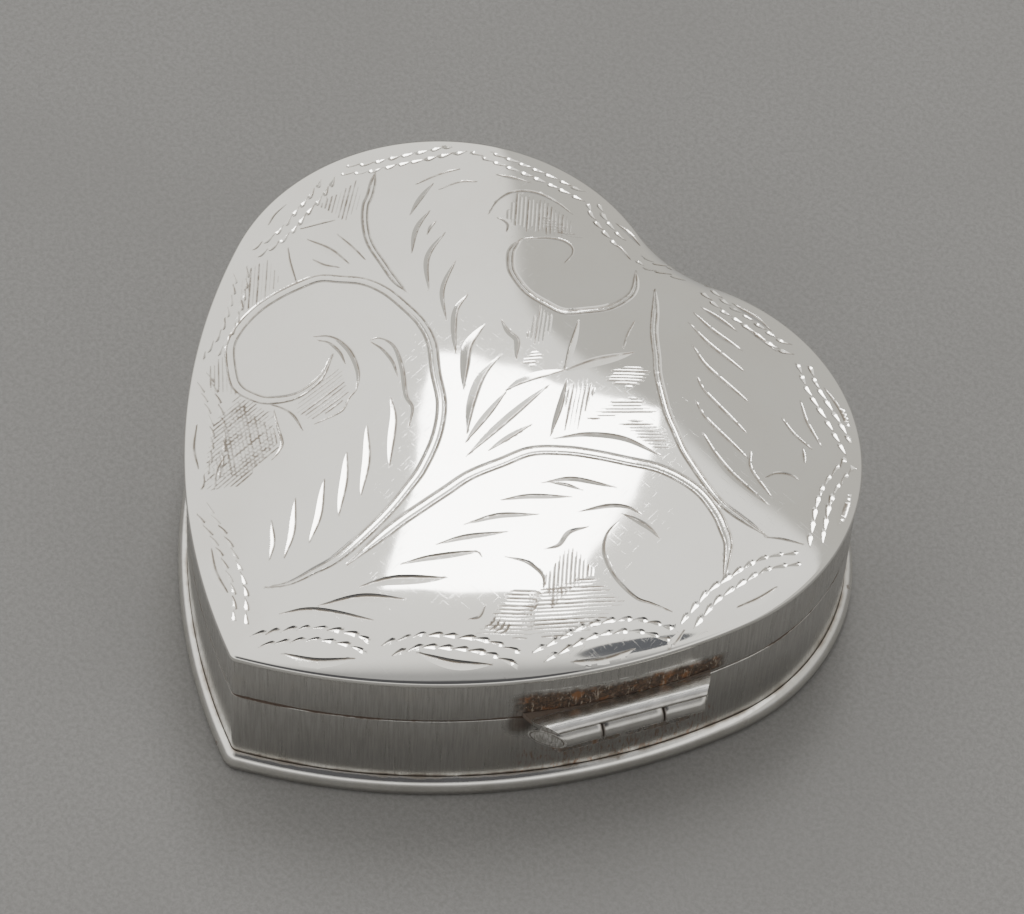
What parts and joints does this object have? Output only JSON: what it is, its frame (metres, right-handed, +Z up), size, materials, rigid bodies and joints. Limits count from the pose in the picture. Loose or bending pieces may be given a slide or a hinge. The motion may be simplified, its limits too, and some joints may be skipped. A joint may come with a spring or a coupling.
{
  "type": "wind-up music box",
  "caption": "Heart-shaped silver music box: domed engraved lid on a side hinge, moulded foot, key-wound cylinder movement under a clear dust cover.",
  "frame": {"origin": "on the table under the middle of the foot moulding", "axes": "+X along the heart's width, +Y from its tip to its cleft, +Z up"},
  "size_m": [0.0718, 0.0687, 0.0223],
  "materials": {
    "silver": "polished silver, engraved on the lid",
    "band_silver": "satin silver with fine upright scratches and tarnish in the seams",
    "brass": "satin, lightly lacquered",
    "steel": "bright ground steel",
    "blue_steel": "heat-blued spring steel",
    "clear": "clear moulded sheet"
  },
  "bodies": {
    "case": {"base_plate": "silver", "body_band": "band_silver", "foot_bead": "band_silver", "inner_bezel": "silver", "dust_cover": "clear", "hinge_base_leaf": "silver", "hinge_knuckle_middle": "silver", "hinge_pin": "steel", "bedplate": "brass", "movement_screw_1": "blue_steel", "movement_screw_2": "blue_steel", "movement_screw_3": "blue_steel", "barrel_bridge": "brass", "bridge_pillar_1": "brass", "bridge_pillar_2": "brass", "bridge_screw_1": "blue_steel", "bridge_screw_2": "blue_steel", "click_screw": "blue_steel", "click_spring": "blue_steel", "cylinder_bracket": "brass", "governor_frame": "brass", "governor_bracket": "brass", "worm_cock": "brass", "comb": "steel", "comb_heel": "brass", "comb_screw_1": "blue_steel", "comb_screw_2": "blue_steel", "stop_spring": "blue_steel"},
    "lid": {"lid_band": "band_silver", "lid_top": "silver", "thumb_lift": "silver", "hinge_lid_plate": "silver", "hinge_knuckle_left": "silver", "hinge_knuckle_right": "silver"},
    "key": {"winding_key": "silver", "winding_arbor": "steel", "ratchet_wheel": "steel"},
    "click": {"ratchet_click": "steel"},
    "barrel": {"crown_wheel": "brass", "spring_barrel": "brass", "barrel_cap": "brass", "mainspring": "blue_steel"},
    "cylinder": {"cylinder_arbor": "steel", "pin_cylinder": "brass", "cylinder_pinion": "steel", "train_wheel": "brass"},
    "governor": {"governor_arbor": "steel", "governor_pinion": "steel", "worm_wheel": "brass"},
    "fan": {"worm": "steel", "governor_fan": "brass"},
    "stop": {"stop_rod": "steel", "stop_finger": "brass"}
  },
  "joints": [
    {"name": "lid_hinge", "type": "hinge", "parent": "case", "child": "lid", "pos_m": [0.02987, -0.00789, 0.0109], "axis": [0.503, 0.8643, 0], "range_deg": [0, 105]},
    {"name": "key_turn", "type": "hinge", "parent": "case", "child": "key", "pos_m": [-0.0155, 0.009, 0.005], "axis": [0, 0, 1], "range_deg": [0, 1350]},
    {"name": "click_swing", "type": "hinge", "parent": "case", "child": "click", "pos_m": [-0.0132, 0.0144, 0.012], "axis": [0, 0, -1], "range_deg": [0, 10], "deforming": ["click_spring"]},
    {"name": "barrel_turn", "type": "hinge", "parent": "case", "child": "barrel", "pos_m": [-0.0155, 0.009, 0.005], "axis": [0, 0, 1], "continuous": true},
    {"name": "cylinder_turn", "type": "hinge", "parent": "case", "child": "cylinder", "pos_m": [0, 0.009, 0.0086], "axis": [1, 0, 0], "continuous": true},
    {"name": "governor_turn", "type": "hinge", "parent": "case", "child": "governor", "pos_m": [0.0195, 0.0144, 0.0086], "axis": [1, 0, 0], "continuous": true},
    {"name": "fan_turn", "type": "hinge", "parent": "case", "child": "fan", "pos_m": [0.0195, 0.01775, 0.0086], "axis": [0, 0, 1], "continuous": true},
    {"name": "stop_lift", "type": "slide", "parent": "case", "child": "stop", "axis": [0, 0, 1], "range_m": [0, 0.0015], "deforming": ["stop_spring"]}
  ],
  "couplings": [
    {"joint": "barrel_turn", "follows": "cylinder_turn", "ratio": 0.3},
    {"joint": "governor_turn", "follows": "cylinder_turn", "ratio": -3.5},
    {"joint": "fan_turn", "follows": "cylinder_turn", "ratio": 49},
    {"joint": "stop_lift", "follows": "lid_hinge", "m_per_rad": 0.00081305}
  ]
}
